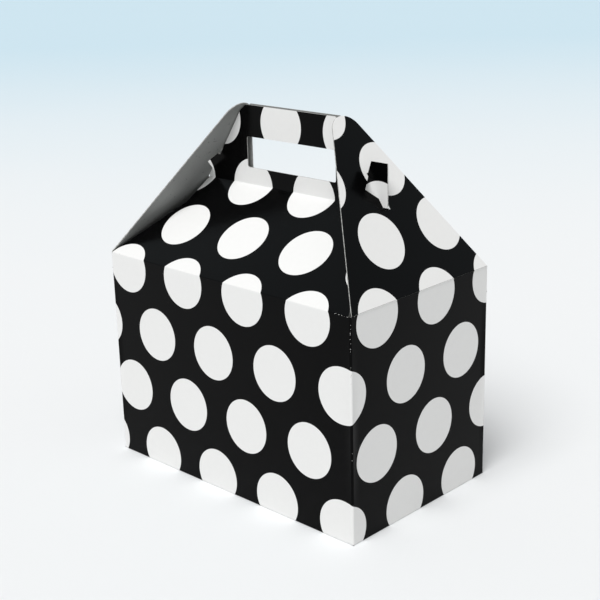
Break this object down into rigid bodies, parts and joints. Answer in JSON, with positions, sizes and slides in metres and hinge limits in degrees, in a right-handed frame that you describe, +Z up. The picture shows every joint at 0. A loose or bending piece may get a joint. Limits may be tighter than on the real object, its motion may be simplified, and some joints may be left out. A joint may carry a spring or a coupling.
{
  "type": "gable box",
  "caption": "Folded carry carton with sloping roof panels, an upright handle with a hand hole, and hinged end flaps hooked over the handle's ears.",
  "frame": {"origin": "centre of the underside, on the surface that the box stands on", "axes": "+X along the length, to the right seen from the front; +Y from the front wall to the back wall; +Z up"},
  "size_m": [0.2002, 0.122, 0.2249],
  "materials": {
    "printed_board": "gloss laminated board printed black with large white dots outside, bare grey inside",
    "flap_board": "gloss laminated board printed black with large white dots outside, bare grey inside"
  },
  "bodies": {
    "carton": {"carton_body": "printed_board"},
    "left_flap": {"left_end_flap": "flap_board"},
    "right_flap": {"right_end_flap": "flap_board"}
  },
  "joints": [
    {"name": "left_flap_fold", "type": "hinge", "parent": "carton", "child": "left_flap", "pos_m": [-0.1003, 0, 0.134], "axis": [0, -1, 0], "range_deg": [0, 200]},
    {"name": "right_flap_fold", "type": "hinge", "parent": "carton", "child": "right_flap", "pos_m": [0.1003, 0, 0.134], "axis": [0, 1, 0], "range_deg": [0, 200]}
  ]
}
